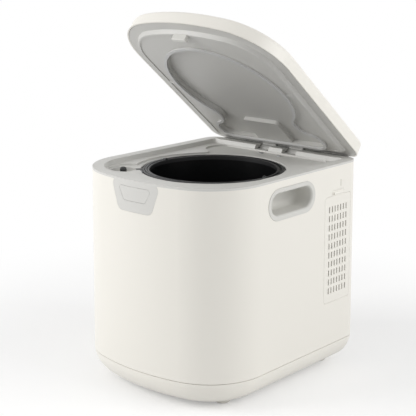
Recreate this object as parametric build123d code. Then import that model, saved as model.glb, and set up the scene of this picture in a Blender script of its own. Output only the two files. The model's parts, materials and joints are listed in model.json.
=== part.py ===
"""Electric food waste composter: a free-standing kitchen machine with a hinged lid.

Frame: +Z up, +X to the right seen from the front, +Y to the back. The origin is on the
worktop, under the bucket's axis. Lengths are in millimetres. The lid is drawn closed and
then turned to its rest angle, open.
"""

import os
from math import acos, asin, atan2, cos, degrees, pi, radians, sin, sqrt, tan

from build123d import *

os.makedirs("parts", exist_ok=True)

# ---- driving dimensions ----
BODY_WIDTH = 280.0  # at the rim
BODY_DEPTH = 322.0  # at the rim, on the centreline
RIM_Z = 310.6  # top of the rim on which the lid closes
FRONT_RADIUS = 300.0  # gentle bow of the front
CORNER_RADIUS = 88.0  # large front corners
BACK_RADIUS = 18.7  # small back corners
DRAFT_DEG = 0.6  # each side wall widens towards the base
WALL = 2.5  # moulded wall thickness
SEAM_Z = 42.3  # joint between the outer shell and the base pan
SEAM_GAP = 0.9  # shadow gap at that joint
BASE_Z = 4.7  # underside of the base pan
BASE_ROUND = 42.0  # rounding of the base pan
SHELL_TOP_Z = 307.6  # top of the cream shell, under the grey rim
RIM_INSET = 16.5  # width of the flat rim
LEDGE_INSET = 19.5  # foot of the rim's inner slope
LEDGE_Z = 304.6  # deck inside the rim
BASIN_Z = 302.2  # floor of the shallow basin around the bucket
BASIN_GROW = 8.0  # the basin reaches this far outside the bell
HOLE_RADIUS = 104.0  # hole in the basin for the bucket
LID_GAP = 0.3  # between the closed lid and the rim
LID_HEIGHT = 21.0  # thickness of the closed lid above the rim
LID_OPEN_DEG = 39.4  # how far the lid stands open at rest
HINGE_Y, HINGE_Z = 162.4, 299.5  # lid hinge axis
HINGE_PIN_RADIUS = 3.0
RUNNING_GAP = 0.05  # radial clearance of a shaft in its bush
BUCKET_RADIUS = 91.5  # inside the bucket's mouth
BUCKET_TOP_Z = 302.0  # top of the bucket's rim
BUCKET_BASE_Z = 129.0
WELL_FLOOR_Z = 128.0
MOTOR_Y = 70.5  # gearmotor axis, behind the bucket's axis
IDLER_Y = 40.5  # compound gear axis


# ---- the body's plan outline and what follows it ----
def outline(grow, z):
    """Plan outline of the body, grown outwards by grow: bowed front, round corners."""
    half = BODY_WIDTH / 2 + grow
    front = -BODY_DEPTH / 2 - grow
    back = BODY_DEPTH / 2 + grow
    bow = FRONT_RADIUS + grow
    corner = CORNER_RADIUS + grow
    rear = max(BACK_RADIUS + grow, 4.0)
    bow_y = front + bow
    corner_x = half - corner
    corner_y = bow_y - sqrt((bow - corner) ** 2 - corner_x**2)
    turn = atan2(corner_y - bow_y, corner_x)
    join = (bow * cos(turn), bow_y + bow * sin(turn))
    mid = (corner_x + corner * cos(turn / 2), corner_y + corner * sin(turn / 2))
    diag = rear * (1 - sqrt(0.5))
    edges = [
        Line((half, corner_y), (half, back - rear)),
        ThreePointArc((half, back - rear), (half - diag, back - diag), (half - rear, back)),
        Line((half - rear, back), (rear - half, back)),
        ThreePointArc((rear - half, back), (diag - half, back - diag), (-half, back - rear)),
        Line((-half, back - rear), (-half, corner_y)),
        ThreePointArc((-half, corner_y), (-mid[0], mid[1]), (-join[0], join[1])),
        ThreePointArc((-join[0], join[1]), (0, front), join),
        ThreePointArc(join, mid, (half, corner_y)),
    ]
    return Pos(0, 0, z) * make_face(edges)


def flare(z):
    """How much wider the body is, on each side, at height z than at the rim."""
    return (RIM_Z - z) * tan(radians(DRAFT_DEG))


def block(inset, z0, z1):
    """Solid of the drafted body shape between two heights, inset from its surface."""
    return loft([outline(flare(z) - inset, z) for z in (z0, z1)], ruled=True)


def ring(inset_out, inset_in, z0, z1):
    """Wall that follows the body surface between two insets."""
    return block(inset_out, z0, z1) - block(inset_in, z0 - 1, z1 + 1)


def box(x0, x1, y0, y1, z0, z1):
    """Box between two corners."""
    centre = Pos((x0 + x1) / 2, (y0 + y1) / 2, (z0 + z1) / 2)
    return centre * Box(x1 - x0, y1 - y0, z1 - z0)


def rod(radius, z0, z1, x=0.0, y=0.0):
    """Upright cylinder."""
    return Pos(x, y, (z0 + z1) / 2) * Cylinder(radius, z1 - z0)


def rod_x(radius, x0, x1, y, z):
    """Cylinder along X."""
    return Pos((x0 + x1) / 2, y, z) * Rot(0, 90, 0) * Cylinder(radius, x1 - x0)


def rod_y(radius, y0, y1, x, z):
    """Cylinder along Y."""
    return Pos(x, (y0 + y1) / 2, z) * Rot(90, 0, 0) * Cylinder(radius, y1 - y0)


def front_prism(face):
    """A shape drawn in front view (x, z), extruded through the front wall."""
    return extrude(Plane.XZ.offset(125) * face, 60)


def side_prism(face, side=1):
    """A shape drawn in side view (y, z), extruded through the right or left wall."""
    prism = extrude(Plane.YZ.offset(90) * face, 100)
    return prism if side > 0 else mirror(prism, Plane.YZ)


def polygon(points, radius=0.0):
    """Closed outline with rounded corners."""
    face = make_face(Polyline(*points, close=True))
    return fillet(face.vertices(), radius) if radius else face


def turned(points):
    """Solid turned about the Z axis from a profile of (radius, z) points."""
    return revolve(Plane.XZ * make_face(Polyline(*points, close=True)), Axis.Z)


def pattern(shape, places):
    """The same shape at several (x, y, z) places, as one group."""
    return [Pos(*place) * shape for place in places]


def save(name, *shapes):
    """Write one node. Shapes that touch are joined, others stay separate solids."""
    solids = [solid for shape in shapes for solid in shape.solids()]
    export_step(Compound(children=solids) if len(solids) > 1 else solids[0], f"parts/{name}.step")


# ---- the bell: the seal's path round the bucket, with two lobes at the hinge side ----
BELL_CENTRE_Y, BELL_RADIUS = -7.0, 100.5
LOBE_X, LOBE_Y, LOBE_RADIUS = 79.0, 116.0, 20.5
WAIST_RADIUS = 24.0


def bell(grow, z):
    """Outline of the bell, grown by grow. Arcs meet tangentially."""
    big, lobe, waist = BELL_RADIUS + grow, LOBE_RADIUS + grow, WAIST_RADIUS - grow
    reach_x, reach_y = LOBE_X, LOBE_Y - BELL_CENTRE_Y
    span = sqrt(reach_x**2 + reach_y**2)
    along = ((big + waist) ** 2 - (lobe + waist) ** 2 + span**2) / (2 * span)
    aside = sqrt((big + waist) ** 2 - along**2)
    ux, uy = reach_x / span, reach_y / span
    wx = along * ux + aside * uy
    wy = BELL_CENTRE_Y + along * uy - aside * ux
    big_end = (wx * big / (big + waist), BELL_CENTRE_Y + (wy - BELL_CENTRE_Y) * big / (big + waist))
    k = lobe / (lobe + waist)
    lobe_end = (LOBE_X + (wx - LOBE_X) * k, LOBE_Y + (wy - LOBE_Y) * k)
    bottom = LOBE_Y + lobe
    start = atan2(lobe_end[1] - LOBE_Y, lobe_end[0] - LOBE_X)
    middle = (start + pi / 2) / 2
    lobe_mid = (LOBE_X + lobe * cos(middle), LOBE_Y + lobe * sin(middle))
    w0 = atan2(big_end[1] - wy, big_end[0] - wx) % (2 * pi)
    w1 = atan2(lobe_end[1] - wy, lobe_end[0] - wx) % (2 * pi)
    waist_mid = (wx + waist * cos((w0 + w1) / 2), wy + waist * sin((w0 + w1) / 2))

    def left(point):
        return (-point[0], point[1])

    front = (0, BELL_CENTRE_Y - big)
    edges = [
        ThreePointArc(left(big_end), front, big_end),
        ThreePointArc(big_end, waist_mid, lobe_end),
        ThreePointArc(lobe_end, lobe_mid, (LOBE_X, bottom)),
        Line((LOBE_X, bottom), (-LOBE_X, bottom)),
        ThreePointArc((-LOBE_X, bottom), left(lobe_mid), left(lobe_end)),
        ThreePointArc(left(lobe_end), left(waist_mid), left(big_end)),
    ]
    return Pos(0, 0, z) * make_face(edges)


def bell_block(grow, z0, z1):
    """Upright solid on the bell outline."""
    return extrude(bell(grow, z0), z1 - z0)


# ---- openings in the walls ----
HANDLE_Y, HANDLE_Z = 2.5, 275.6
HANDLE_OUTER = (104.0, 44.4)  # grey bezel
HANDLE_MOUTH = (89.0, 30.0)  # finger opening
HANDLE_DEPTH_X = 107.6  # inner face of the recess
FILTER_Y, FILTER_Z = 110.5, 186.5
FILTER_SIZE = (63.0, 157.0)
FILTER_TAB = (28.0, 10.0)
APRON = [(46.5, 312), (30.5, 267), (-30.5, 267), (-46.5, 312)]
BUTTON = [(31.0, 301.5), (20.0, 281.5), (-20.0, 281.5), (-31.0, 301.5)]
INLET_X, INLET_Z = -82.0, 76.0
HINGE_HALF = 51.0  # half width of the hinge knuckles at the back
LUG_SLOTS = [(-39.3, -12.7), (12.7, 39.3)]  # slots in the rim for the lid's lugs


def handle_slot(size):
    return Pos(HANDLE_Y, HANDLE_Z) * SlotOverall(size[0], size[1])


def filter_window(grow):
    """Filter cover outline in side view, with its finger tab on top."""
    panel = RectangleRounded(FILTER_SIZE[0] + 2 * grow, FILTER_SIZE[1] + 2 * grow, 5 + grow)
    tab_z = (FILTER_SIZE[1] + FILTER_TAB[1]) / 2 - 2.0
    tab = Pos(0, tab_z) * RectangleRounded(FILTER_TAB[0] + 2 * grow, FILTER_TAB[1] + 2 * grow, 2 + grow)
    return Pos(FILTER_Y, FILTER_Z) * (panel + tab)


def apron_shape(grow):
    """Grey tongue of the rim on the front, in front view."""
    return offset(polygon(APRON, 11.0), grow) if grow else polygon(APRON, 11.0)


def button_shape(grow):
    return offset(polygon(BUTTON, 4.0), grow) if grow else polygon(BUTTON, 4.0)


# ---- fixed casings ----
def outer_shell():
    shell = ring(0, WALL, SEAM_Z + SEAM_GAP, SHELL_TOP_Z)
    for side in (1, -1):
        shell -= side_prism(offset(handle_slot(HANDLE_OUTER), 0.2), side)
    shell -= side_prism(filter_window(0.35))
    shell -= front_prism(apron_shape(0.2))
    shell -= box(-HINGE_HALF, HINGE_HALF, 150, 175, 290, 306.0)
    shell -= box(LUG_SLOTS[0][0], LUG_SLOTS[1][1], 150, 175, 287, 312)
    shell -= box(138, 150, FILTER_Y + 5.9, FILTER_Y + 7.1, 277, 287)
    shell -= box(INLET_X - 24.2, INLET_X + 24.2, 150, 175, INLET_Z - 14.2, INLET_Z + 14.2)
    slot = Rot(90, 0, 0) * SlotOverall(26, 3, rotation=90)
    for i in range(15):
        shell -= extrude(Pos(-28 + 7 * i, 170, 84) * slot, 20)
    return shell


def base_section(radius, inset, turn):
    z = BASE_Z + BASE_ROUND - radius * sin(turn)
    return outline(flare(z) - inset - radius * (1 - cos(turn)), z)


FOOT_PLACES = [(-94, -88), (94, -88), (-100, 128), (100, 128)]
POST_PLACES = [(-92, -42), (92, -42), (-92, 92), (92, 92)]
BOARD_PLACES = [(-68, -118), (68, -118), (-68, -68), (68, -68)]
PLATE_Z = 78.5  # underside of the chassis plate
BOARD_Z = 20.0  # underside of the control board


def base_block(radius, inset):
    """Solid of the base below the seam, inset from the outside."""
    first = asin((BASE_Z + BASE_ROUND - SEAM_Z) / BASE_ROUND) if inset == 0 else 0.0
    turns = [first] + [radians(t) for t in (28, 50, 72, 90)]
    return loft([base_section(radius, inset, t) for t in turns])


def base_pan():
    pan = base_block(BASE_ROUND, 0) - base_block(BASE_ROUND - WALL, WALL)
    pan += ring(WALL + 0.2, WALL + 2.2, SEAM_Z - 4, SEAM_Z + 5)
    pan += ring(0.6, WALL + 2.2, SEAM_Z - 4, SEAM_Z - 1.5)
    floor = BASE_Z + WALL - 0.2
    for x, y in POST_PLACES:
        pan += rod(6, floor, PLATE_Z, x, y)
        pan -= rod(1.8, 3, 32, x, y)
        pan -= rod(4.2, 3, 6.2, x, y)
    for x, y in BOARD_PLACES:
        pan += rod(3.5, floor, BOARD_Z, x, y)
    for x, y in FOOT_PLACES:
        pan -= rod(4.0, 3, 12, x, y)
    return pan


SCREW_Y = 130.5  # deck screws into the hinge bracket
BAY_END_Y = -118.0  # back wall of the latch bay under the deck


def top_deck():
    """Grey deck: rim, sloped inner wall, basin with the seal's seat, pocket and apron."""
    deck = block(WALL + 0.3, BASIN_Z - WALL, SHELL_TOP_Z)
    deck += block(0, SHELL_TOP_Z, RIM_Z)
    deck += (block(0, 260, RIM_Z) - block(WALL, 259, RIM_Z + 1)) & front_prism(apron_shape(0))
    deck += rod(POCKET_RADIUS + 2.5, POCKET_Z - 2.0, BASIN_Z, PLUNGER_X, PLUNGER_Y)
    slope = [outline(-LEDGE_INSET, LEDGE_Z), outline(-RIM_INSET, RIM_Z + 0.01)]
    deck -= loft(slope, ruled=True)
    basin = bell_block(BASIN_GROW, BASIN_Z, LEDGE_Z + 1)
    basin += Pos(-86, -86, BASIN_Z) * extrude(Circle(28), 3)
    deck -= basin & extrude(outline(-LEDGE_INSET - 1, BASIN_Z), 5)
    deck -= rim_channel()
    deck -= hole_cut()
    deck -= pocket()
    deck -= box(-34, 34, -165, BAY_END_Y, 262, LEDGE_Z - 2.6) & block(WALL, 262, 306)
    deck -= box(-34, 34, -165, -128, 262, 303.5) & ring(WALL, 8.3, 262, 304)
    deck -= front_prism(button_shape(0))
    deck -= box(-13.5, 13.5, -142.3, -131.0, 290, 306)
    deck -= box(-HINGE_HALF, HINGE_HALF, 151, 175, 280, 306.0)
    for x0, x1 in LUG_SLOTS:
        deck -= box(x0, x1, 151, 175, 280, 312)
        deck -= box(x0, x1, 140, 175, LEDGE_Z, 312)
    for x in (-17, 17):
        deck -= rod(1.7, 290, 306, x, SCREW_Y)
        deck -= rod(3.4, BASIN_Z - 0.6, 306, x, SCREW_Y)
    return deck


def rim_channel():
    """Hollow of the rim, open below."""
    channel = ring(5.5, 13.5, 290, SHELL_TOP_Z + 0.4)
    return channel - box(-55, 55, 140, 170, 280, 312)


def hole_cut():
    """Hole for the bucket, its upper edge rounded over."""
    edge = 1.6
    top = BASIN_Z
    lines = [
        Line((0, top + 5), (HOLE_RADIUS + edge, top + 5)),
        Line((HOLE_RADIUS + edge, top + 5), (HOLE_RADIUS + edge, top)),
        ThreePointArc(
            (HOLE_RADIUS + edge, top),
            (HOLE_RADIUS + edge * (1 - sqrt(0.5)), top - edge * (1 - sqrt(0.5))),
            (HOLE_RADIUS, top - edge),
        ),
        Line((HOLE_RADIUS, top - edge), (HOLE_RADIUS, 280)),
        Line((HOLE_RADIUS, 280), (0, 280)),
        Line((0, 280), (0, top + 5)),
    ]
    return revolve(Plane.XZ * make_face(lines), Axis.Z)


PLUNGER_X, PLUNGER_Y = -90.5, -91.5
POCKET_Z = 296.0
POCKET_RADIUS = 16.5
TROUGH_Z = 301.0
TROUGH_TURN = degrees(atan2(PLUNGER_Y, PLUNGER_X))


def pocket():
    """Round pocket for the interlock plunger, with a trough that drains to the bucket."""
    bowl = rod(POCKET_RADIUS, POCKET_Z, 310, PLUNGER_X, PLUNGER_Y)
    bore = rod(5.3, 288, 300, PLUNGER_X, PLUNGER_Y)
    trough = Pos(PLUNGER_X * 0.87, PLUNGER_Y * 0.87, 0) * Rot(0, 0, TROUGH_TURN)
    return bowl + bore + trough * box(-17, 17, -6, 6, TROUGH_Z, 306)


def handle_cup(side):
    """Carrying recess: bezel flush with the wall, scooped cup behind it."""
    face = ring(-0.6, WALL, 240, 306) & side_prism(handle_slot(HANDLE_OUTER))
    wall_size = (HANDLE_MOUTH[0] + 4, HANDLE_MOUTH[1] + 4)
    cup = extrude(Plane.YZ.offset(HANDLE_DEPTH_X - 2) * handle_slot(wall_size), 60)
    cup = fillet(cup.faces().sort_by(Axis.X)[0].edges(), 11) & block(0, 240, 306)
    hollow = extrude(Plane.YZ.offset(HANDLE_DEPTH_X) * handle_slot(HANDLE_MOUTH), 60)
    hollow = fillet(hollow.faces().sort_by(Axis.X)[0].edges(), 9)
    lips = [(137.6, 0.0), (139.4, 0.5), (140.4, 1.3), (141.6, 3.2)]
    sizes = [(x, (HANDLE_MOUTH[0] + 2 * grow, HANDLE_MOUTH[1] + 2 * grow)) for x, grow in lips]
    mouth = loft([Plane.YZ.offset(x) * handle_slot(size) for x, size in sizes], ruled=True)
    cup = (face + cup) - hollow - mouth
    return cup if side > 0 else mirror(cup, Plane.YZ)


def rubber_feet():
    """Round feet, shaped to the rounded base, each with a barbed stud through the pan."""
    foot = turned([(0, 0), (9.5, 0), (11, 1.5), (11, 12), (5.5, 12), (5.5, 14), (4.5, 15), (0, 15)])
    foot = foot - turned([(3.8, BASE_Z), (12, BASE_Z), (12, 12), (3.8, 12)])
    pads = rod(11, 3, 9)
    base = base_block(BASE_ROUND, 0)
    feet = []
    for x, y in FOOT_PLACES:
        feet.append(Pos(x, y, 0) * foot + (Pos(x, y, 0) * pads - base - rod(3.8, 3, 12, x, y)))
    return feet


# ---- heating well and chassis ----
def heating_well():
    top = BUCKET_TOP_Z - 3.6
    inner, outer = 99.3, 100.8
    well = turned([(13, 126), (90, 126), (outer, 136), (outer, top - 1.5), (106, top - 1.5),
                   (106, top), (inner, top), (inner, 137), (89.5, WELL_FLOOR_Z), (13, WELL_FLOOR_Z)])
    return well - box(34, 62, 60, 120, 278, 288)


def well_insulation():
    return rod(107, 150, 256) - rod(101.0, 149, 257)


def heater_plate():
    plate = rod(78, 119, 126) - rod(20, 118, 127)
    groove = rod(62, 118, 121) - rod(54, 117, 122)
    return plate - groove


def heater_element():
    """Tubular heater, an open ring in the plate's groove with two cold ends."""
    path = Plane.XY.offset(119.2) * CenterArc((0, 0), 58, 280, 340)
    start = path @ 0
    section = Plane(origin=start, z_dir=path % 0) * Circle(3.2)
    tube = sweep(section, path)
    for end in (path @ 0, path @ 1):
        tube += rod(2.2, 108, 119.2, end.X, end.Y)
    return tube & (rod(61.8, 100, 121) - rod(54.2, 99, 122))


def chassis_plate():
    plate = Pos(0, 25, PLATE_Z) * extrude(RectangleRounded(206, 160, 14), 2)
    plate -= rod(27, 70, 90, 0, MOTOR_Y)
    for x, y in POST_PLACES:
        plate -= rod(2.2, 70, 90, x, y)
    for x in (-62, 62):
        plate -= extrude(Pos(x, 12, 70) * SlotOverall(70, 24, rotation=90), 20)
    return plate


PILLAR_RADIUS = 88.0


def well_pillars():
    """Three legs that carry the well on the chassis plate."""
    leg = rod(6, PLATE_Z + 2, 84) + rod(4, 84, 126)
    return [Rot(0, 0, turn) * Pos(PILLAR_RADIUS, 0, 0) * leg for turn in (20, 160, 270)]


# ---- gear train ----
STAGE_ONE = (88.0, 95.0)  # heights of the first pair of gears
STAGE_TWO = (96.0, 105.0)  # heights of the second pair
TRAY_Z, TRAY_TOP = 80.5, 109.0


def gear(teeth, module, z0, z1, phase_deg=0.0):
    """Spur gear with involute flanks, thinned a little for backlash."""
    pressure = radians(20)
    pitch_r = teeth * module / 2
    base_r = pitch_r * cos(pressure)
    tip_r = pitch_r + 0.9 * module
    root_r = pitch_r - 1.2 * module
    backlash = 0.10 * module

    def spread(radius):
        """Half angle of the tooth at this radius."""
        half = (pi * module / 2 - backlash) / (2 * pitch_r)
        roll = acos(min(1.0, base_r / max(radius, base_r)))
        return half + (tan(pressure) - pressure) - (tan(roll) - roll)

    low = max(root_r, base_r)
    radii = [root_r, low + 0.15 * (tip_r - low), low + 0.6 * (tip_r - low), tip_r]
    points = []
    for tooth in range(teeth):
        middle = radians(phase_deg) + 2 * pi * tooth / teeth
        for radius in radii:
            angle = middle - spread(radius)
            points.append((radius * cos(angle), radius * sin(angle)))
        for radius in reversed(radii):
            angle = middle + spread(radius)
            points.append((radius * cos(angle), radius * sin(angle)))
    return extrude(Pos(0, 0, z0) * make_face(Polyline(*points, close=True)), z1 - z0)


OUTPUT_TEETH, SMALL_TEETH, LARGE_TEETH, PINION_TEETH = 40, 14, 32, 16
MODULE_ONE, MODULE_TWO = 1.25, 1.5
COUPLER_RADIUS = 11.0


def output_gear():
    wheel = gear(OUTPUT_TEETH, MODULE_TWO, *STAGE_TWO, phase_deg=90 + 180 / OUTPUT_TEETH)
    for turn in range(6):
        wheel -= Rot(0, 0, 60 * turn) * rod(5.5, 90, 110, 17, 0)
    wheel += rod(6, TRAY_Z + 0.5, 113)
    wheel += rod(COUPLER_RADIUS, 112.3, 125.5)
    wheel -= box(-6.0, 6.0, -2.6, 2.6, 116, 127)
    return wheel


def idler_gear():
    large = gear(LARGE_TEETH, MODULE_ONE, *STAGE_ONE, phase_deg=90)
    small = gear(SMALL_TEETH, MODULE_TWO, STAGE_ONE[1] - 0.1, STAGE_TWO[1], phase_deg=-90)
    wheel = large + small + rod(6, TRAY_Z + 3.0, STAGE_ONE[0])
    return Pos(0, IDLER_Y, 0) * (wheel - rod(3 + RUNNING_GAP, 70, 120))


def motor_pinion():
    half_tooth = 180 / PINION_TEETH
    pinion = gear(PINION_TEETH, MODULE_ONE, STAGE_ONE[0] - 1, STAGE_ONE[1], phase_deg=half_tooth - 90)
    hub = rod(2.5, 78.0, 100) + rod(11, 83.5, STAGE_ONE[0] - 0.9)
    return Pos(0, MOTOR_Y, 0) * (pinion + hub)


def tray_shape(grow):
    """Gearbox outline: a large circle round the output gear, drawn to the pinion."""
    ends = Circle(36 + grow) + Pos(0, MOTOR_Y) * Circle(17 + grow) + Pos(0, IDLER_Y) * Circle(28 + grow)
    return make_hull(ends.edges())


def gearbox_tray():
    tray = extrude(Pos(0, 0, TRAY_Z) * tray_shape(WALL), TRAY_TOP - TRAY_Z)
    tray -= extrude(Pos(0, 0, TRAY_Z + WALL) * tray_shape(0), TRAY_TOP)
    tray -= rod(6 + RUNNING_GAP, 70, 90)
    tray -= rod(3.0, 70, 90, 0, IDLER_Y)
    tray -= rod(6.0, 70, 90, 0, MOTOR_Y)
    return tray


def gearbox_cover():
    cover = extrude(Pos(0, 0, TRAY_TOP) * tray_shape(WALL), 2.5)
    cover -= rod(9.0, 100, 120)
    cover -= rod(3.0, 100, 120, 0, IDLER_Y)
    return cover


def output_bush():
    return (rod(9, 107.2, 112.0) + rod(11, 107.2, 109.0)) - rod(6 + RUNNING_GAP, 100, 120)


def idler_pin():
    return rod(3.0, TRAY_Z, TRAY_TOP + 2.5, 0, IDLER_Y)


def gear_motor():
    can = rod(25, 22, 66) + rod(23, 66, 78) + rod(6, 78, 80.4)
    can += rod(5, 18, 22)
    can = fillet(can.faces().sort_by(Axis.Z)[0].edges(), 1.0)
    for turn in (0, 90, 180, 270):
        can -= Rot(0, 0, turn + 45) * box(24.2, 27, -6, 6, 28, 40)
    can -= rod(2.5 + RUNNING_GAP, 77.5, 81)
    return Pos(0, MOTOR_Y, 0) * can


# ---- electrics ----
def control_board():
    board = box(-74, 74, -124, -62, BOARD_Z, BOARD_Z + 1.6)
    top = BOARD_Z + 1.5
    board += rod(9, top, top + 26, -52, -100)
    board += box(-34, 0, -116, -86, top, top + 22)
    board += box(8, 26, -112, -92, top, top + 15)
    board += box(34, 52, -112, -92, top, top + 15)
    board += box(-60, 60, -72, -65, top, top + 9)
    for i in range(5):
        board += box(-40 + 9 * i, -37.5 + 9 * i, -84, -76, top, top + 18)
    return board


def lid_switch():
    body = box(PLUNGER_X - 10, PLUNGER_X + 10, PLUNGER_Y - 5, PLUNGER_Y + 5, 261.4, 278.6)
    for x in (-6, 0, 6):
        body += box(PLUNGER_X + x - 0.8, PLUNGER_X + x + 0.8, PLUNGER_Y - 2, PLUNGER_Y + 2, 255.4, 262.4)
    return body


def button_switch():
    body = box(-10, 10, -150, -144, 272, 283)
    body += box(-3, 3, -152.2, -149.9, 276, 280)
    return body


def power_inlet():
    """Appliance inlet: flange on the back wall, recess with three blades."""
    back = BODY_DEPTH / 2 + flare(INLET_Z)
    socket = box(INLET_X - 24, INLET_X + 24, back - 3, back + 1.2, INLET_Z - 14, INLET_Z + 14)
    socket += box(INLET_X - 15, INLET_X + 15, back - 20, back, INLET_Z - 11, INLET_Z + 11)
    socket -= box(INLET_X - 12, INLET_X + 12, back - 17, back + 5, INLET_Z - 8, INLET_Z + 8)
    blade = box(-1, 1, back - 18, back - 8, -2, 2)
    for x, z in ((-7, -2), (7, -2), (0, 2)):
        socket += Pos(INLET_X + x, 0, INLET_Z + z) * blade
    return socket


# ---- exhaust: duct, fan, filter ----
FAN_X, FAN_Z = 48.0, 200.0
FAN_Y0, FAN_Y1 = 114.0, 134.0


def exhaust_duct():
    """Square duct from a window in the well's back wall down to the fan."""
    duct = box(30, 66, 60, 152, 276, 290) + box(30, 66, 136, 152, 182, 290)
    hollow = box(32, 64, 50, 150, 278, 288) + box(32, 64, 138, 150, 184, 288)
    duct -= hollow
    duct -= rod(100.9, 270, 300)
    duct += rod_y(18, 134, 137, FAN_X, FAN_Z) - box(0, 90, 130, 140, 100, 181)
    return duct - rod_y(16, 130, 140, FAN_X, FAN_Z)


def fan_housing():
    """Scroll of a centrifugal fan, its outlet blowing into the filter housing."""
    scroll = rod_y(29, FAN_Y0, FAN_Y1, FAN_X, FAN_Z) + box(FAN_X, 90, FAN_Y0, FAN_Y1, FAN_Z, FAN_Z + 29)
    inside = rod_y(27, FAN_Y0 + 2, FAN_Y1 - 2, FAN_X, FAN_Z)
    inside += box(FAN_X, 95, FAN_Y0 + 2, FAN_Y1 - 2, FAN_Z + 2, FAN_Z + 27)
    scroll -= inside
    scroll -= rod_y(16, FAN_Y1 - 3, FAN_Y1 + 1, FAN_X, FAN_Z)
    scroll -= rod_y(2.0 + RUNNING_GAP, FAN_Y0 - 1, FAN_Y0 + 3, FAN_X, FAN_Z)
    return scroll


def fan_rotor():
    rotor = rod_y(24, FAN_Y0 + 2.6, FAN_Y0 + 4.2, FAN_X, FAN_Z)
    rotor += rod_y(8, FAN_Y0 + 2.6, FAN_Y1 - 6, FAN_X, FAN_Z)
    rotor += rod_y(2.0, FAN_Y0, FAN_Y0 + 4, FAN_X, FAN_Z)
    for i in range(16):
        blade = Rot(0, 22.5 * i, 0) * Pos(20.5, 0, 0) * Rot(0, 35, 0) * Box(7, 12, 1)
        rotor += Pos(FAN_X, FAN_Y0 + 9.8, FAN_Z) * blade
    return rotor


FILTER_BOX = (90.0, 136.5, 83.0, 138.0, 111.0, 262.0)


def filter_housing():
    x0, x1, y0, y1, z0, z1 = FILTER_BOX
    housing = box(x0, x1, y0, y1, z0, z1) - box(x0 + 2, x1 + 1, y0 + 2, y1 - 2, z0 + 2, z1 - 2)
    return housing - box(x0 - 1, x0 + 3, FAN_Y0 + 2, FAN_Y1 - 2, FAN_Z + 2, FAN_Z + 27)


def filter_cartridge():
    """Tray of charcoal: a framed block with slotted faces, open to the air both ways."""
    x0, x1, y0, y1, z0, z1 = 94.0, 134.0, 86.0, 135.0, 114.0, 259.0
    tray = box(x0, x1, y0, y1, z0, z1)
    for i in range(9):
        z = z0 + 10 + 15.0 * i
        tray -= box(x1 - 3, x1 + 1, y0 + 5, y1 - 5, z, z + 8)
        tray -= box(x0 - 1, x0 + 3, y0 + 5, y1 - 5, z, z + 8)
    return tray


SLOT_COLUMNS, SLOT_ROWS = 7, 10


def filter_cover():
    """Vent cover on the right wall: rows of upright slots and a finger tab."""
    cover = ring(0, 2.2, 90, 290) & side_prism(filter_window(0))
    tab_z = FILTER_Z + FILTER_SIZE[1] / 2
    ridge = rod_y(2.6, FILTER_Y - 11.5, FILTER_Y + 11.5, 140.1, tab_z + 3.4)
    cover += ridge - block(2.2, 90, 290)
    slots = []
    for row in range(SLOT_ROWS):
        for column in range(SLOT_COLUMNS):
            y = FILTER_Y + 6.8 * (column - 3)
            z = FILTER_Z - 0.6 + 13.4 * (row - 4.5)
            slots.append(box(125, 150, y - 1.2, y + 1.2, z - 4.5, z + 4.5))
    cover -= slots
    for y in (FILTER_Y - 22, FILTER_Y + 22):
        for z in (FILTER_Z - 69, FILTER_Z + 70.5):
            cover += rod_x(2.5, 134.0, 140.4, y, z)
    return cover


# ---- latch, button and interlock ----
LATCH_Z = 300.2  # underside of the latch slide


def front_button():
    """Push button in the apron, with a hidden flange and two posts to the latch."""
    face = (block(0.1, 260, 309) - block(4.4, 259, 310)) & front_prism(button_shape(-0.35))
    flange = (block(2.9, 260, 309) - block(4.4, 259, 310)) & front_prism(button_shape(1.2))
    button = face + flange
    for x in (-13, 13):
        button += rod_y(2.2, -157.2, -154.3, x, 296.0)
    return button


def latch_slide():
    """Sprung slide: a frame round the lid's hook, with the tooth that holds its barb."""
    slide = box(-17, 17, -154, -124.5, LATCH_Z, LATCH_Z + 1.5)
    slide += box(-17, 17, -154, -151.5, LATCH_Z - 7.0, LATCH_Z + 1.5)
    slide -= box(-13, 13, -150, -131.2, 290, 305)
    slide += box(-9, 9, -135.5, -131, LATCH_Z, LATCH_Z + 1.5)
    return slide


def latch_spring():
    """Two leaf springs between the latch slide and the end of its bay."""
    bent = Polyline(
        (-5, -124.45), (0, -118.95), (5, -124.45), (5, -123.6), (0, -118.1), (-5, -123.6), close=True
    )
    leaf = extrude(Pos(0, 0, LATCH_Z) * make_face(bent), 1.5)
    return pattern(leaf, [(-11, 0, 0), (11, 0, 0)])


def interlock_plunger():
    """Peg that the closed lid presses on the lid switch."""
    peg = turned([
        (0, 282.9), (3.4, 282.9), (3.4, 290.4), (7, 290.4), (7, 292.4), (4.8, 293.4),
        (4.8, 302.7), (4.1, 304.8), (2.4, 305.8), (0, 305.8),
    ])
    return Pos(PLUNGER_X, PLUNGER_Y, 0) * peg


def plunger_spring():
    """Coil spring between the lid switch and the plunger's collar."""
    path = Helix(pitch=2.65, height=10.6, radius=4.9, center=(PLUNGER_X, PLUNGER_Y, 279.2))
    section = Plane(origin=path @ 0, z_dir=path % 0) * Circle(0.45)
    return sweep(section, path)


# ---- hinge ----
KNUCKLES = [(-50.0, -39.3), (-12.7, 12.7), (39.3, 50.0)]
LUGS = [(-38.7, -13.3), (13.3, 38.7)]


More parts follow.
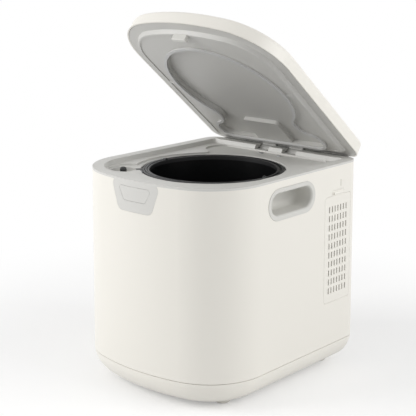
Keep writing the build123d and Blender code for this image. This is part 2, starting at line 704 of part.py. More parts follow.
def hinge_bracket():
    """Plate under the deck with three knuckles that carry the hinge pin."""
    under = BASIN_Z - WALL - 0.2
    bracket = box(-50, 50, 147.5, 150.5, 291, under)
    bracket += box(-28, 28, 123, 150.5, under - 2.5, under)
    for x0, x1 in KNUCKLES:
        bracket += box(x0, x1, 150, HINGE_Y, 293.5, 296.2)
        bracket += box(x0, x1, 151.2, HINGE_Y, 293.5, 300)
        bracket += rod_x(6, x0, x1, HINGE_Y, HINGE_Z)
    for x in (-17, 17):
        bracket -= rod(1.3, 290, 300, x, SCREW_Y)
    return bracket - rod_x(HINGE_PIN_RADIUS, -60, 60, HINGE_Y, HINGE_Z)


def hinge_cover():
    """Dark quarter-round strip behind the rim, which the lid's lower edge sweeps past."""
    strip = rod_x(11.1, -118, 118, HINGE_Y, HINGE_Z) & box(-118, 118, 161.15, 168.5, 303, 312)
    strip -= box(-HINGE_HALF, HINGE_HALF, 160, 170, 300, 306.2)
    for x0, x1 in LUG_SLOTS:
        strip -= box(x0, x1, 160, 170, 300, 312)
    return strip


def hinge_pin():
    return rod_x(HINGE_PIN_RADIUS, -50, 50, HINGE_Y, HINGE_Z)


# ---- lid, drawn closed ----
LID_BASE = RIM_Z + LID_GAP
LINER_Z = 306.2  # face of the liner's plug
DISH_Z = 312.2  # ceiling of the dish inside the bell
LIP_INSET = 20.5  # the plug's lower edge, from the body's outline
RIB_Z = 304.2  # lower edge of the bell rib that carries the seal
LUG_RADIUS = 10.4  # barrel of the lid's hinge lugs


def opened(shape):
    """Turn a lid piece from closed to its rest angle about the hinge axis."""
    return Pos(0, HINGE_Y, HINGE_Z) * Rot(-LID_OPEN_DEG, 0, 0) * Pos(0, -HINGE_Y, -HINGE_Z) * shape


def lid_shell():
    top = RIM_Z + LID_HEIGHT
    outside = loft([outline(-0.6, LID_BASE), outline(-1.6, top)], ruled=True)
    edge = outside.faces().sort_by(Axis.Z)[-1].edges()
    outside = fillet(edge, 6.5)
    inside = loft([outline(-0.6 - 1.9, LID_BASE - 1), outline(-1.6 - 3.5, top - WALL)], ruled=True)
    return outside - inside


def lid_liner():
    """Grey lining: flange, plug with a rounded lip, dish inside the bell, hinge lugs."""
    flange_top = LID_BASE + 2.5
    plug = loft([outline(-LIP_INSET, LINER_Z - 1.0), outline(-16.2, flange_top)], ruled=True)
    plug = fillet(plug.faces().sort_by(Axis.Z)[0].edges(), 1.6)
    hollow = loft([outline(-LIP_INSET - 2.5, LINER_Z + 2.2), outline(-18.4, flange_top + 1)], ruled=True)
    face = extrude(outline(-LIP_INSET - 3.4, LINER_Z - 3), 3.0)
    liner = extrude(outline(-3.3, LID_BASE), 2.5)
    liner -= extrude(outline(-17.5, LID_BASE - 1), 5)
    liner += plug - hollow - face
    liner += bell_block(1.6, LINER_Z, DISH_Z + 2.0)
    dish = bell_block(-3.0, LINER_Z - 3, DISH_Z)
    dish -= extrude(Pos(0, 0, LINER_Z - 4) * block_plan(0), 30)
    liner -= dish
    liner -= extrude(Pos(0, 0, LINER_Z + 2.2) * block_plan(-2.5), 20)
    liner += bell_block(1.6, RIB_Z, LINER_Z + 0.5) - bell_block(-1.6, RIB_Z - 1, LINER_Z + 2)
    for side in (-1, 1):
        x0, x1 = sorted((side * 101.5, side * 119.5))
        liner += box(x0, x1, -10.5, -4.5, LINER_Z - 0.9, LINER_Z + 1)
    liner -= box(-12, 12, -143, -136, 300, LINER_Z)
    for x0, x1 in LUGS:
        web = polygon([(151.8, flange_top), (157.3, flange_top), (158, LID_BASE - 0.4),
                       (HINGE_Y + 5.5, HINGE_Z + 2.4), (HINGE_Y - 6, HINGE_Z)])
        liner += extrude(Plane.YZ.offset(x0) * web, x1 - x0)
        liner += rod_x(LUG_RADIUS, x0, x1, HINGE_Y, HINGE_Z)
        liner -= rod_x(HINGE_PIN_RADIUS + RUNNING_GAP, x0 - 1, x1 + 1, HINGE_Y, HINGE_Z)
    return liner


def block_plan(grow):
    """Plan of the air scoop at the hinge side of the dish."""
    left, right, front, back = -34 - grow, 32 + grow, 82 - grow, 150
    return polygon([(left, front), (right, front), (right, back), (left, back)], 5.0 + grow)


def lid_seal():
    """Silicone bead that caps the bell rib and presses on the basin and the bucket's rim."""
    cap = bell_block(2.2, BASIN_Z + 0.5, RIB_Z + 0.9) - bell_block(-2.2, BASIN_Z - 1, RIB_Z + 2)
    return cap - (bell_block(1.6, RIB_Z, RIB_Z + 2) - bell_block(-1.6, RIB_Z - 1, RIB_Z + 3))


def lid_hook():
    """Front catch: a leg with a barb that snaps under the latch tooth."""
    tip = LATCH_Z - 3.2
    barb = LATCH_Z - 0.4
    profile = Polyline(
        (-141, LINER_Z), (-141, tip + 1.2), (-139.8, tip), (-136, tip), (-132.7, tip + 1.8),
        (-132.7, barb), (-136, barb), (-136, LINER_Z), close=True,
    )
    return extrude(Plane.YZ.offset(-12) * make_face(profile), 24)


# ---- bucket, bail and agitator ----
BAIL_Z = BUCKET_TOP_Z - 0.4
BAIL_RADIUS = 96.5
BAIL_ROD = 1.2


def bucket():
    """Spun aluminium bucket: tapered wall, raised bush seat, outward flange."""
    low = BUCKET_TOP_Z - 4.9
    return turned([
        (11, BUCKET_BASE_Z + 0.5), (79, BUCKET_BASE_Z + 0.5),
        (86, BUCKET_BASE_Z + 4), (89.5, BUCKET_BASE_Z + 12), (93.5, low - 1.5), (96, low),
        (99, low), (99, low + 1.5), (95, low + 1.5), (BUCKET_RADIUS, low - 1),
        (87.5, BUCKET_BASE_Z + 13), (84.5, BUCKET_BASE_Z + 6), (78.5, BUCKET_BASE_Z + 3),
        (16, BUCKET_BASE_Z + 3), (14, BUCKET_BASE_Z + 9), (11, BUCKET_BASE_Z + 9),
    ])


def bucket_rim():
    """Rim ring of the bucket: groove for the folded bail, its ears, locating tab."""
    top = BUCKET_TOP_Z
    rim = turned([
        (BUCKET_RADIUS, top - 5.8), (BUCKET_RADIUS, top - 0.8), (BUCKET_RADIUS + 0.8, top),
        (94.1, top), (94.5, top - 0.4), (94.5, top - 2.3), (98.5, top - 2.3), (98.5, top - 0.4),
        (98.9, top), (100.8, top), (101.6, top - 0.8), (101.6, top - 3.4), (95, top - 3.4),
    ])
    for side in (-1, 1):
        x0, x1 = sorted((side * 92.2, side * 93.8))
        rim += box(x0, x1, -3.0, 3.0, top - 0.9, BAIL_Z) + rod_x(3.0, x0, x1, 0, BAIL_Z)
        x0, x1 = sorted((side * 93.8, side * 98.5))
        rim -= box(x0, x1, -3.2, 3.2, top - 3.5, top + 4)
        x0, x1 = sorted((side * 90, side * 96))
        rim -= rod_x(1.3 + RUNNING_GAP, x0, x1, 0, BAIL_Z)
    tab = box(100.0, 110.5, -4.5, 4.5, top - 0.7, top + 0.3)
    return rim + Rot(0, 0, TROUGH_TURN) * tab


def bucket_bush():
    collar = rod(13.5, BUCKET_BASE_Z + 9, BUCKET_BASE_Z + 11)
    return rod(11, BUCKET_BASE_Z + 0.5, BUCKET_BASE_Z + 9) + collar - rod(6 + RUNNING_GAP, 120, 150)


def bucket_bail():
    """Folding carrying handle: a bent rod with flattened eyes and pivot pins."""
    gap = degrees(asin(2.0 / BAIL_RADIUS))
    path = Plane.XY.offset(BAIL_Z) * CenterArc((0, 0), BAIL_RADIUS, 180 + gap, 180 - 2 * gap)
    section = Plane(origin=path @ 0, z_dir=path % 0) * Circle(BAIL_ROD)
    bail = sweep(section, path)
    for side in (-1, 1):
        x0, x1 = sorted((side * 94.4, side * 97.6))
        bail += rod_x(2.4, x0, x1, 0, BAIL_Z)
        x0, x1 = sorted((side * 91.8, side * 94.6))
        bail += rod_x(1.3, x0, x1, 0, BAIL_Z)
    return bail


def bail_grip():
    path = Plane.XY.offset(BAIL_Z) * CenterArc((0, 0), BAIL_RADIUS, 256, 28)
    section = Plane(origin=path @ 0, z_dir=path % 0) * (Circle(1.6) - Circle(BAIL_ROD))
    return sweep(section, path)


def agitator():
    """Mixing arm: tapered hub on a through shaft, three swept arms with upright fingers."""
    hub = turned([(0, 141.5), (16, 141.5), (16, 146), (11, 158), (8, 172), (4, 175), (0, 175)])
    hub += rod(6, 126, 143)
    hub += rod(6, 117.5, 127) & box(-5.6, 5.6, -2.3, 2.3, 117, 128)
    arm = polygon([(6, -7), (50, -16), (84, -9), (85, -3), (50, -8), (10, 7)])
    arm = extrude(Pos(0, 0, 142.5) * arm, 10)
    finger = loft([
        Pos(81, -6.4, 146) * Rectangle(6.5, 7),
        Pos(80, -2.0, 190) * Rectangle(4.5, 4),
    ])
    for turn in (0, 120, 240):
        hub += Rot(0, 0, turn) * (arm + finger)
    return hub


# ---- fixings ----
def deck_screws():
    screw = rod(3.2, 0, 1.6) + rod(1.3, -4.5, 0)
    screw -= box(-2, 2, -0.4, 0.4, 0.9, 2) + box(-0.4, 0.4, -2, 2, 0.9, 2)
    return pattern(screw, [(x, SCREW_Y, BASIN_Z - 0.6) for x in (-17, 17)])


def base_screws():
    screw = rod(3.8, -1.4, 0) + rod(1.8, -0.1, 22)
    screw -= box(-2.4, 2.4, -0.5, 0.5, -2, -0.8) + box(-0.5, 0.5, -2.4, 2.4, -2, -0.8)
    return pattern(screw, [(x, y, 6.2) for x, y in POST_PLACES])


# ---- write every node ----
save("outer_shell", outer_shell())
save("base_pan", base_pan())
save("top_deck", top_deck())
save("handle_cup_right", handle_cup(1))
save("handle_cup_left", handle_cup(-1))
save("rubber_feet", *rubber_feet())
save("heating_well", heating_well())
save("well_insulation", well_insulation())
save("heater_plate", heater_plate())
save("heater_element", heater_element())
save("chassis_plate", chassis_plate())
save("well_pillars", *well_pillars())
save("output_gear", output_gear())
save("idler_gear", idler_gear())
save("motor_pinion", motor_pinion())
save("gearbox_tray", gearbox_tray())
save("gearbox_cover", gearbox_cover())
save("output_bush", output_bush())
save("idler_pin", idler_pin())
save("gear_motor", gear_motor())
save("control_board", control_board())
save("lid_switch", lid_switch())
save("button_switch", button_switch())
save("power_inlet", power_inlet())
save("exhaust_duct", exhaust_duct())
save("fan_housing", fan_housing())
save("fan_rotor", fan_rotor())
save("filter_housing", filter_housing())
save("filter_cartridge", filter_cartridge())
save("filter_cover", filter_cover())
save("front_button", front_button())
save("latch_slide", latch_slide())
save("latch_spring", *latch_spring())
save("interlock_plunger", interlock_plunger())
save("plunger_spring", plunger_spring())
save("hinge_bracket", hinge_bracket())
save("hinge_pin", hinge_pin())
save("hinge_cover", hinge_cover())
save("lid_shell", opened(lid_shell()))
save("lid_liner", opened(lid_liner()))
save("lid_seal", opened(lid_seal()))
save("lid_hook", opened(lid_hook()))
save("bucket", bucket())
save("bucket_rim", bucket_rim())
save("bucket_bush", bucket_bush())
save("bucket_bail", bucket_bail())
save("bail_grip", bail_grip())
save("agitator", agitator())
save("deck_screws", *deck_screws())
save("base_screws", *base_screws())
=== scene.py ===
# %% [markdown]
# # Electric food waste composter
# A cream kitchen machine stands on a white studio floor with its lid open. The solid
# parts are loaded first as a fixed frame. Every finish, light and extra piece is then
# set round them, in metres.

import json
from math import cos, pi, radians, sin

import bmesh
import bpy
from mathutils import Matrix, Vector


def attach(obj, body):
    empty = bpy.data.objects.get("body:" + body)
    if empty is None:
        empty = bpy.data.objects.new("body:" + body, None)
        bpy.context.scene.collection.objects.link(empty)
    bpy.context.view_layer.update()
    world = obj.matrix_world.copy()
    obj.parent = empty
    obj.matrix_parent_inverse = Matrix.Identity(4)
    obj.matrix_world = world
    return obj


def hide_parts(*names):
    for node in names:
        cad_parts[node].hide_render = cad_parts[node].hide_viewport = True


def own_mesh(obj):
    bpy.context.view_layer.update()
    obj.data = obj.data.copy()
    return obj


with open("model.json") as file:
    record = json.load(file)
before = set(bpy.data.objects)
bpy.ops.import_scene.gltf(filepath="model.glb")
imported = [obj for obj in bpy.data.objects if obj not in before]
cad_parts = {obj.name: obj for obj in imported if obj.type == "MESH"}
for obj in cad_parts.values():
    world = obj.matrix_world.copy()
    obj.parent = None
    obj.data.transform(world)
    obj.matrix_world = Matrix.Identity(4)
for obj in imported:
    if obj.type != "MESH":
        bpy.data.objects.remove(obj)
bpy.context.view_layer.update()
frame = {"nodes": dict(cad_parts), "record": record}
NODES = frame["nodes"]

# %% [markdown]
# ## Colour and size helpers
# Finishes are matched to screen colours, which are coded from 0 to 255. The
# shader works with linear light, so one helper turns a screen colour into a linear one.

# %% Colour and size helpers
MM = 0.001


def screen(red, green, blue):
    """Linear colour of a screen colour."""
    linear = []
    for code in (red, green, blue):
        part = code / 255
        linear.append(part / 12.92 if part <= 0.04045 else ((part + 0.055) / 1.055) ** 2.4)
    return (*linear, 1.0)


print("mid grey in linear light:", [round(v, 3) for v in screen(128, 128, 128)[:3]])

# %% [markdown]
# ## Camera
# The photograph looks down a little on the front right corner through a long lens. The
# camera is placed by its angle round the object, its height angle and its distance from
# the point that it looks at.

# %% Camera
CAMERA_AZIMUTH = radians(41.37)
CAMERA_ELEVATION = radians(13.89)
CAMERA_DISTANCE = 1.6357
CAMERA_AIM = Vector((-0.0058, -0.0051, 0.2433))
CAMERA_LENS = 98.07
SENSOR_WIDTH = 36.0
CLIP_END = 50.0

camera_data = bpy.data.cameras.new("photo_camera")
camera_data.lens = CAMERA_LENS
camera_data.sensor_width = SENSOR_WIDTH
camera_data.clip_end = CLIP_END
camera = bpy.data.objects.new("photo_camera", camera_data)
bpy.context.scene.collection.objects.link(camera)
toward_camera = Vector(
    (
        sin(CAMERA_AZIMUTH) * cos(CAMERA_ELEVATION),
        -cos(CAMERA_AZIMUTH) * cos(CAMERA_ELEVATION),
        sin(CAMERA_ELEVATION),
    )
)
camera.location = CAMERA_AIM + toward_camera * CAMERA_DISTANCE
camera.rotation_euler = (-toward_camera).to_track_quat("-Z", "Y").to_euler()
bpy.context.scene.camera = camera
print("camera at", [round(v, 3) for v in camera.location])

# %% [markdown]
# ## Studio light
# Two large soft boxes stand left and right of the machine, so the rounded front corner
# between them falls off to a soft grey, as in the photograph. A weaker one further back
# evens out the right side. One helper hangs each of them on a circle round the machine.

# %% Studio light
LIGHT_AIM = Vector((0.0, 0.0, 0.22))


def soft_box(name, azimuth, elevation, distance, width, power):
    """Square area lamp on a circle round the machine, aimed at its middle."""
    lamp = bpy.data.lights.new(name, "AREA")
    lamp.shape = "SQUARE"
    lamp.size = width
    lamp.energy = power
    stand = bpy.data.objects.new(name, lamp)
    bpy.context.scene.collection.objects.link(stand)
    turn, lift = radians(azimuth), radians(elevation)
    away = Vector((sin(turn) * cos(lift), -cos(turn) * cos(lift), sin(lift)))
    stand.location = LIGHT_AIM + away * distance
    stand.rotation_euler = (-away).to_track_quat("-Z", "Y").to_euler()


soft_box("soft_box_left", azimuth=-40, elevation=22, distance=2.2, width=1.3, power=25)
soft_box("soft_box_right", azimuth=105, elevation=25, distance=2.4, width=1.5, power=17)
soft_box("soft_box_back", azimuth=132, elevation=25, distance=2.4, width=1.5, power=7)

# %% [markdown]
# ## White world
# A photo studio is a white room. The world does its work: to the camera and in
# reflections it is pure white, and as light it is only a plain fill, weak enough to keep
# the soft boxes' modelling. The Light Path node tells the two kinds of ray apart.

# %% White world
WHITE = (1, 1, 1, 1)
FILL_STRENGTH = 0.5


def background_rays(tree):
    """Socket that is one for camera, glossy and transmission rays, else zero."""
    path = tree.nodes.new("ShaderNodeLightPath")
    source = path.outputs["Is Camera Ray"]
    for kind in ("Is Glossy Ray", "Is Transmission Ray"):
        either = tree.nodes.new("ShaderNodeMath")
        either.operation = "MAXIMUM"
        tree.links.new(source, either.inputs[0])
        tree.links.new(path.outputs[kind], either.inputs[1])
        source = either.outputs[0]
    return source


world = bpy.data.worlds.new("studio")
bpy.context.scene.world = world
world.use_nodes = True
sky = world.node_tree
sky.nodes.clear()
fill = sky.nodes.new("ShaderNodeBackground")
fill.inputs["Color"].default_value = WHITE
fill.inputs["Strength"].default_value = FILL_STRENGTH
backdrop = sky.nodes.new("ShaderNodeBackground")
backdrop.inputs["Color"].default_value = WHITE
choose = sky.nodes.new("ShaderNodeMixShader")
output = sky.nodes.new("ShaderNodeOutputWorld")
sky.links.new(background_rays(sky), choose.inputs["Fac"])
sky.links.new(fill.outputs["Background"], choose.inputs[1])
sky.links.new(backdrop.outputs["Background"], choose.inputs[2])
sky.links.new(choose.outputs["Shader"], output.inputs["Surface"])
print("fill strength:", FILL_STRENGTH)

# %% [markdown]
# ## Floor paper
# The machine stands on a roll of white paper. Near it the paper is matte, with a little
# glow of its own, so the soft shadow stays on it. Further out it turns to plain white, as
# a seamless sweep does, and no horizon shows. Rays that only carry light see it matte.

# %% Floor paper
FLOOR_GLOW = 0.25
PAPER_WHITE = (0.82, 0.82, 0.82, 1)
SWEEP_START, SWEEP_END = 0.32, 0.75


def sweep_mask(tree):
    """Zero near the machine, one where the paper sweep is plain white."""
    place = tree.nodes.new("ShaderNodeTexCoord")
    reach = tree.nodes.new("ShaderNodeVectorMath")
    reach.operation = "LENGTH"
    tree.links.new(place.outputs["Object"], reach.inputs[0])
    fade = tree.nodes.new("ShaderNodeMapRange")
    fade.interpolation_type = "SMOOTHSTEP"
    fade.inputs["From Min"].default_value = SWEEP_START
    fade.inputs["From Max"].default_value = SWEEP_END
    tree.links.new(reach.outputs["Value"], fade.inputs["Value"])
    return fade.outputs["Result"]


def floor_material():
    """Matte paper that the camera and reflections see fade to plain white."""
    material = bpy.data.materials.new("studio_floor")
    material.use_nodes = True
    tree = material.node_tree
    tree.nodes.clear()
    matte = tree.nodes.new("ShaderNodeBsdfDiffuse")
    matte.inputs["Color"].default_value = PAPER_WHITE
    glow = tree.nodes.new("ShaderNodeEmission")
    glow.inputs["Strength"].default_value = FLOOR_GLOW
    paper = tree.nodes.new("ShaderNodeEmission")
    near = tree.nodes.new("ShaderNodeAddShader")
    seen = tree.nodes.new("ShaderNodeMixShader")
    pick = tree.nodes.new("ShaderNodeMixShader")
    out = tree.nodes.new("ShaderNodeOutputMaterial")
    tree.links.new(matte.outputs["BSDF"], near.inputs[0])
    tree.links.new(glow.outputs["Emission"], near.inputs[1])
    tree.links.new(sweep_mask(tree), seen.inputs["Fac"])
    tree.links.new(near.outputs["Shader"], seen.inputs[1])
    tree.links.new(paper.outputs["Emission"], seen.inputs[2])
    tree.links.new(background_rays(tree), pick.inputs["Fac"])
    tree.links.new(matte.outputs["BSDF"], pick.inputs[1])
    tree.links.new(seen.outputs["Shader"], pick.inputs[2])
    tree.links.new(pick.outputs["Shader"], out.inputs["Surface"])
    return material


print("floor turns white from", SWEEP_START, "to", SWEEP_END, "m")

# %% [markdown]
# ## Floor disc
# The disc itself is one circle operator with its end capped. It lies a hair under the
# feet, so no face of it shares a place with a face of theirs.

# %% Floor disc
FLOOR_RADIUS, FLOOR_SIDES = 6.0, 96
FLOOR_DROP = 0.3 * MM

disc = bmesh.new()
bmesh.ops.create_circle(disc, cap_ends=True, radius=FLOOR_RADIUS, segments=FLOOR_SIDES)
bmesh.ops.translate(disc, vec=(0, 0, -FLOOR_DROP), verts=disc.verts)
floor_mesh = bpy.data.meshes.new("floor")
disc.to_mesh(floor_mesh)
disc.free()
floor = bpy.data.objects.new("floor", floor_mesh)
floor.data.materials.append(floor_material())
bpy.context.scene.collection.objects.link(floor)
print("floor radius:", FLOOR_RADIUS)

# %% [markdown]
# ## Parts of an effect
# An effect that several finishes share is one node group, built once. Each of them takes
# a vector and a few named amounts, and gives three values that change over the surface:
# a height for the relief, a change of gloss and a change of tone. These helpers make the
# group with its sockets, a noise that reads the vector, and a noise centred on zero, so
# that an effect doesn't shift the finish's own roughness or colour.

# %% Parts of an effect
EFFECT_OUTPUTS = ("Height", "Gloss", "Tone")


def new_group(name, inputs):
    """Shader node group with a vector and value inputs, and an effect's outputs."""
    group = bpy.data.node_groups.new(name, "ShaderNodeTree")
    sockets = group.interface
    sockets.new_socket("Vector", in_out="INPUT", socket_type="NodeSocketVector")
    for label, value in inputs.items():
        socket = sockets.new_socket(label, in_out="INPUT", socket_type="NodeSocketFloat")
        socket.default_value = value
    for label in EFFECT_OUTPUTS:
        sockets.new_socket(label, in_out="OUTPUT", socket_type="NodeSocketFloat")
    start = group.nodes.new("NodeGroupInput")
    end = group.nodes.new("NodeGroupOutput")
    return group, start, end


def noise(group, start, scale_socket, detail, stretch=None):
    """Noise texture read from the group's vector, stretched along chosen axes."""
    texture = group.nodes.new("ShaderNodeTexNoise")
    texture.inputs["Detail"].default_value = detail
    group.links.new(start.outputs[scale_socket], texture.inputs["Scale"])
    source = start.outputs["Vector"]
    if stretch:
        mapping = group.nodes.new("ShaderNodeMapping")
        mapping.inputs["Scale"].default_value = stretch
        group.links.new(source, mapping.inputs["Vector"])
        source = mapping.outputs["Vector"]
    group.links.new(source, texture.inputs["Vector"])
    return texture


def centred(group, texture, start, amount_socket):
    """Noise minus a half, times the group's amount input."""
    shift = group.nodes.new("ShaderNodeMath")
    shift.operation = "SUBTRACT"
    shift.inputs[1].default_value = 0.5
    group.links.new(texture.outputs["Fac"], shift.inputs[0])
    size = group.nodes.new("ShaderNodeMath")
    size.operation = "MULTIPLY"
    group.links.new(shift.outputs[0], size.inputs[0])
    group.links.new(start.outputs[amount_socket], size.inputs[1])
    return size.outputs[0]


print("effect outputs:", EFFECT_OUTPUTS)

# %% [markdown]
# ## Moulded grain
# Plastic takes the fine spark-eroded grain of its mould, about a millimetre across, and
# its gloss drifts a little over a large wall. Two noises do it, one fine and one slow.

# %% Moulded grain


def build_grain():
    """Fine moulded grain for the height, slow drift for gloss and tone."""
    scales = {"Grain Scale": 900.0, "Drift Scale": 9.0}
    drifts = {"Gloss Drift": 0.06, "Tone Drift": 0.02}
    group, start, end = new_group("moulded_grain", scales | drifts)
    fine = noise(group, start, "Grain Scale", detail=3.0)
    slow = noise(group, start, "Drift Scale", detail=2.0)
    group.links.new(fine.outputs["Fac"], end.inputs["Height"])
    group.links.new(centred(group, slow, start, "Gloss Drift"), end.inputs["Gloss"])
    group.links.new(centred(group, slow, start, "Tone Drift"), end.inputs["Tone"])
    return group


GRAIN = build_grain()
print("effect:", GRAIN.name)

# %% [markdown]
# ## Brushed streaks
# Drawn and spun metal carries long fine lines from its tools. The same noise becomes
# streaks when a Mapping node squeezes it across them.

# %% Brushed streaks
SQUEEZE = (1.0, 14.0, 14.0)  # across Y and Z, so the lines run along X


def build_streaks():
    """Streaks along X for brushed or drawn metal."""
    scales = {"Grain Scale": 60.0, "Drift Scale": 12.0}
    drifts = {"Gloss Drift": 0.12, "Tone Drift": 0.05}
    group, start, end = new_group("brushed_streaks", scales | drifts)
    fine = noise(group, start, "Grain Scale", detail=4.0, stretch=SQUEEZE)
    slow = noise(group, start, "Drift Scale", detail=3.0)
    group.links.new(fine.outputs["Fac"], end.inputs["Height"])
    group.links.new(centred(group, fine, start, "Gloss Drift"), end.inputs["Gloss"])
    group.links.new(centred(group, slow, start, "Tone Drift"), end.inputs["Tone"])
    return group


STREAKS = build_streaks()
print("effect:", STREAKS.name)

# %% [markdown]
# ## Coating flecks
# A sprayed non-stick coating shows small pale flecks in the dark. A Voronoi texture has
# one point in each cell, and only a spot round that point is kept.

# %% Coating flecks
FLECK_RADIUS = 0.22  # share of a cell


def build_flecks():
    """Small pale flecks of a sprayed non-stick coating."""
    scales = {"Grain Scale": 420.0, "Drift Scale": 14.0}
    drifts = {"Gloss Drift": 0.1, "Tone Drift": 0.1}
    group, start, end = new_group("coating_flecks", scales | drifts)
    cells = group.nodes.new("ShaderNodeTexVoronoi")
    group.links.new(start.outputs["Grain Scale"], cells.inputs["Scale"])
    group.links.new(start.outputs["Vector"], cells.inputs["Vector"])
    spot = group.nodes.new("ShaderNodeMapRange")
    spot.inputs["From Max"].default_value = FLECK_RADIUS
    spot.inputs["To Min"].default_value = 1.0
    spot.inputs["To Max"].default_value = 0.0
    group.links.new(cells.outputs["Distance"], spot.inputs["Value"])
    size = group.nodes.new("ShaderNodeMath")
    size.operation = "MULTIPLY"
    group.links.new(spot.outputs["Result"], size.inputs[0])
    group.links.new(start.outputs["Tone Drift"], size.inputs[1])
    slow = noise(group, start, "Drift Scale", detail=3.0)
    group.links.new(spot.outputs["Result"], end.inputs["Height"])
    group.links.new(centred(group, slow, start, "Gloss Drift"), end.inputs["Gloss"])
    group.links.new(size.outputs[0], end.inputs["Tone"])
    return group


FLECKS = build_flecks()
print("effect:", FLECKS.name)

# %% [markdown]
# ## One helper for every finish
# A finish is a colour, a roughness, how metallic it is, and the effect that varies them.
# The effect's height goes through a Bump node, its gloss is added to the roughness and
# its tone lightens or darkens the colour. What is the same all over, such as the
# specular level, is set on the shader's own socket.

# %% One helper for every finish
RELIEF_STRENGTH = 0.25


def finish(
    name, colour, roughness, effect=None, metallic=0.0, bump=0.0002, specular=0.5, **values
):
    """Principled material with an effect group on Object coordinates."""
    effect = effect or GRAIN
    material = bpy.data.materials.new(name)
    material.use_nodes = True
    tree = material.node_tree
    shader = tree.nodes["Principled BSDF"]
    shader.inputs["Metallic"].default_value = metallic
    shader.inputs["Specular IOR Level"].default_value = specular
    place = tree.nodes.new("ShaderNodeTexCoord")
    group = tree.nodes.new("ShaderNodeGroup")
    group.node_tree = effect
    for label, value in values.items():
        group.inputs[label.replace("_", " ").title()].default_value = value
    tree.links.new(place.outputs["Object"], group.inputs["Vector"])
    tone = tree.nodes.new("ShaderNodeHueSaturation")
    tone.inputs["Color"].default_value = colour
    lift = tree.nodes.new("ShaderNodeMath")
    lift.operation = "ADD"
    lift.inputs[1].default_value = 1.0
    tree.links.new(group.outputs["Tone"], lift.inputs[0])
    tree.links.new(lift.outputs[0], tone.inputs["Value"])
    tree.links.new(tone.outputs["Color"], shader.inputs["Base Color"])
    gloss = tree.nodes.new("ShaderNodeMath")
    gloss.operation = "ADD"
    gloss.inputs[1].default_value = roughness
    tree.links.new(group.outputs["Gloss"], gloss.inputs[0])
    tree.links.new(gloss.outputs[0], shader.inputs["Roughness"])
    relief = tree.nodes.new("ShaderNodeBump")
    relief.inputs["Strength"].default_value = RELIEF_STRENGTH
    relief.inputs["Distance"].default_value = bump
    tree.links.new(group.outputs["Height"], relief.inputs["Height"])
    tree.links.new(relief.outputs["Normal"], shader.inputs["Normal"])
    return material


FINISHES = {}
print("relief strength:", RELIEF_STRENGTH)

# %% [markdown]
# ## Moulded plastics
# The shell is a warm cream with a satin face. The deck and its button, the lid's lining
# and the carrying recesses are near greys, of which the lining is a shade darker. The
# dark ring round the bucket, the inner mouldings and the board take the same grain.

# %% Moulded plastics
FINISHES["cream_shell"] = finish("cream_plastic", screen(241, 238, 230), 0.34, bump=0.00005)
FINISHES["grey_deck"] = finish("deck_plastic", screen(214, 213, 209), 0.42, bump=0.00008)
FINISHES["grey_liner"] = finish("liner_plastic", screen(202, 201, 197), 0.40, bump=0.00008)
FINISHES["cup_grey"] = finish("recess_plastic", screen(216, 215, 210), 0.45, bump=0.0001)
FINISHES["rim_grey"] = finish("rim_plastic", screen(34, 34, 35), 0.40, bump=0.0001)
FINISHES["black_plastic"] = finish("black_plastic", screen(30, 30, 32), 0.48)
FINISHES["white_plastic"] = finish("white_plastic", screen(226, 226, 222), 0.42, bump=0.0001)
FINISHES["board_green"] = finish("board_laminate", screen(28, 92, 52), 0.35, bump=0.0001)
print("plastics:", len(FINISHES))

# %% [markdown]
# ## Rubber, felt and charcoal
# The seal is silicone with a soft shine. The feet are matte rubber near the shell's
# colour. Inside, the felt round the well and the charcoal have a coarse, deep relief, so
# their bump distance is a millimetre or more.

# %% Rubber, felt and charcoal
FINISHES["silicone"] = finish("seal_silicone", screen(200, 200, 199), 0.38, tone_drift=0.03)
FINISHES["feet_rubber"] = finish("foot_rubber", screen(226, 223, 216), 0.62)
FINISHES["felt"] = finish(
    "mineral_felt", screen(206, 198, 176), 0.92, bump=0.0012, grain_scale=350.0
)
FINISHES["charcoal_filter"] = finish(
    "charcoal", screen(38, 38, 40), 0.85, bump=0.002, grain_scale=260.0
)
print("finishes so far:", len(FINISHES))

# %% [markdown]
# ## Dark coatings
# The bucket looks almost black in the photograph. The coating on it and on the agitator
# has a low specular level, so the white studio hardly shows in it, and its flecks are
# only just seen. The bail is coated wire, a little lighter.

# %% Dark coatings
FINISHES["dark_wire"] = finish("wire_coating", screen(52, 53, 55), 0.35, bump=0.0001)
FINISHES["dark_coating"] = finish(
    "bucket_coating", screen(13, 13, 14), 0.30, FLECKS, specular=0.22, tone_drift=2.2
)
print("finishes so far:", len(FINISHES))

# %% [markdown]
# ## Metals
# The well is spun aluminium. The chassis plate, gears, pins, screws and springs are bright
# steel, the heater plate is cast, and the bushes are sintered bronze. Streaks suit what is
# spun, drawn or cut, and grain suits what is cast or pressed from powder.

# %% Metals
FINISHES["well_alloy"] = finish(
    "spun_alloy", screen(178, 180, 182), 0.34, STREAKS, metallic=1.0
)
FINISHES["steel"] = finish("drawn_steel", screen(186, 187, 189), 0.28, STREAKS, metallic=1.0)
FINISHES["cast_alloy"] = finish(
    "cast_alloy", screen(150, 152, 155), 0.52, metallic=1.0, bump=0.0005
)
FINISHES["bronze"] = finish(
    "sintered_bronze", screen(168, 126, 74), 0.45, metallic=1.0, bump=0.0003
)
print("finishes:", len(FINISHES))

# %% [markdown]
# ## Dress the solid parts
# The record says which finish each solid part takes. The material goes to the object's
# own slot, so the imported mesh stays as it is.

# %% Dress the solid parts
for part in frame["record"]["subparts"]:
    for place in NODES[part["node"]].material_slots:
        place.link = "OBJECT"
        place.material = FINISHES[part["material_slot"]]

# %% [markdown]
# ## One helper for new pieces
# A few small pieces have to bend, which a solid part can't do. Each is shaped as a bmesh,
# and this helper turns it into an object at the origin, with its place in its mesh. It
# smooths the faces, turns them outwards, and says what finish and body the piece has.

# %% One helper for new pieces


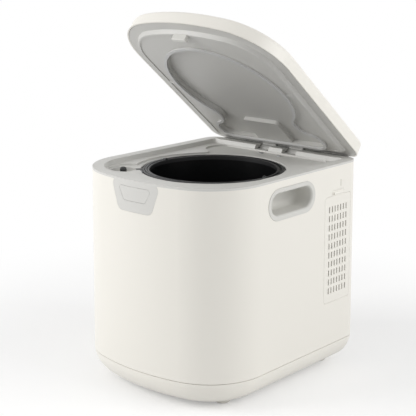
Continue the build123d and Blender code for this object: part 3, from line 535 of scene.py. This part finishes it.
def new_piece(name, shape, material_slot, body):
    """Object made of a bmesh, with its finish, riding on a body."""
    bmesh.ops.recalc_face_normals(shape, faces=shape.faces)
    for face in shape.faces:
        face.smooth = True
    mesh = bpy.data.meshes.new(name)
    shape.to_mesh(mesh)
    shape.free()
    piece = bpy.data.objects.new(name, mesh)
    bpy.context.scene.collection.objects.link(piece)
    mesh.materials.append(FINISHES[material_slot])
    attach(piece, body)
    return piece


print("helper ready:", new_piece.__name__)

# %% [markdown]
# ## Coil spring under the interlock peg
# A compression spring holds the peg up. The solid spring can't shorten, so it would cut
# through the peg's collar when the lid presses it. This one is a round wire section that
# bmesh's spin turns about the peg's axis while it climbs, which is a screw.

# %% Coil spring
PEG_X, PEG_Y = -90.5 * MM, -91.5 * MM
COIL_RADIUS, WIRE_RADIUS = 4.9 * MM, 0.45 * MM
COIL_LOW, COIL_PITCH, COIL_TURNS = 279.2 * MM, 2.65 * MM, 4
STEPS_PER_TURN = 24
WIRE_SIDES = 12

wire = bmesh.new()
bmesh.ops.create_circle(wire, radius=WIRE_RADIUS, segments=WIRE_SIDES)
bmesh.ops.rotate(wire, verts=wire.verts, matrix=Matrix.Rotation(pi / 2, 3, "X"))
bmesh.ops.translate(wire, verts=wire.verts, vec=(PEG_X + COIL_RADIUS, PEG_Y, COIL_LOW))
bmesh.ops.spin(
    wire,
    geom=wire.verts[:] + wire.edges[:],
    cent=(PEG_X, PEG_Y, 0),
    axis=(0, 0, 1),
    dvec=(0, 0, COIL_PITCH / STEPS_PER_TURN),
    angle=2 * pi * COIL_TURNS,
    steps=COIL_TURNS * STEPS_PER_TURN,
    use_duplicate=False,
)
bmesh.ops.holes_fill(wire, edges=[e for e in wire.edges if e.is_boundary], sides=0)
coil = new_piece("peg_coil_spring", wire, "steel", "body")
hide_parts("plunger_spring")
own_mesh(coil)
print("coil spring faces:", len(coil.data.polygons))

# %% [markdown]
# ## Leaf springs of the latch
# Two bent strips push the latch slide forward. Each starts as three points. The middle
# one is bevelled into a round bend, the run is extruded to the strip's width, and
# solidify gives it the thickness of spring steel.

# %% Leaf springs
LATCH_UNDERSIDE = 300.2 * MM
LEAF_SPACING, LEAF_WIDTH, LEAF_THICKNESS = 11 * MM, 1.5 * MM, 0.5 * MM
LEAF_HALF, LEAF_FOOT_Y, LEAF_TIP_Y = 4.8 * MM, -123.9 * MM, -118.7 * MM
BEND_RADIUS, BEND_SEGMENTS = 1.2 * MM, 5

for side, leaf_x in (("left", -LEAF_SPACING), ("right", LEAF_SPACING)):
    strip = bmesh.new()
    places = [(-LEAF_HALF, LEAF_FOOT_Y), (0, LEAF_TIP_Y), (LEAF_HALF, LEAF_FOOT_Y)]
    points = [strip.verts.new((leaf_x + x, y, LATCH_UNDERSIDE)) for x, y in places]
    for first, second in zip(points, points[1:]):
        strip.edges.new((first, second))
    bmesh.ops.bevel(
        strip,
        geom=[points[1]],
        offset=BEND_RADIUS,
        affect="VERTICES",
        segments=BEND_SEGMENTS,
        profile=0.5,
        material=-1,
    )
    run = bmesh.ops.extrude_edge_only(strip, edges=strip.edges[:])["geom"]
    raised = [v for v in run if isinstance(v, bmesh.types.BMVert)]
    bmesh.ops.translate(strip, verts=raised, vec=(0, 0, LEAF_WIDTH))
    bmesh.ops.solidify(strip, geom=strip.faces[:], thickness=LEAF_THICKNESS)
    leaf = new_piece("latch_leaf_spring_" + side, strip, "steel", "body")
    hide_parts("latch_spring")
    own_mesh(leaf)
    reach = [corner[1] / MM for corner in leaf.bound_box]
    print("leaf spring", side, "from y", round(min(reach), 2), "to", round(max(reach), 2))

bpy.context.scene.view_settings.view_transform = "Standard"
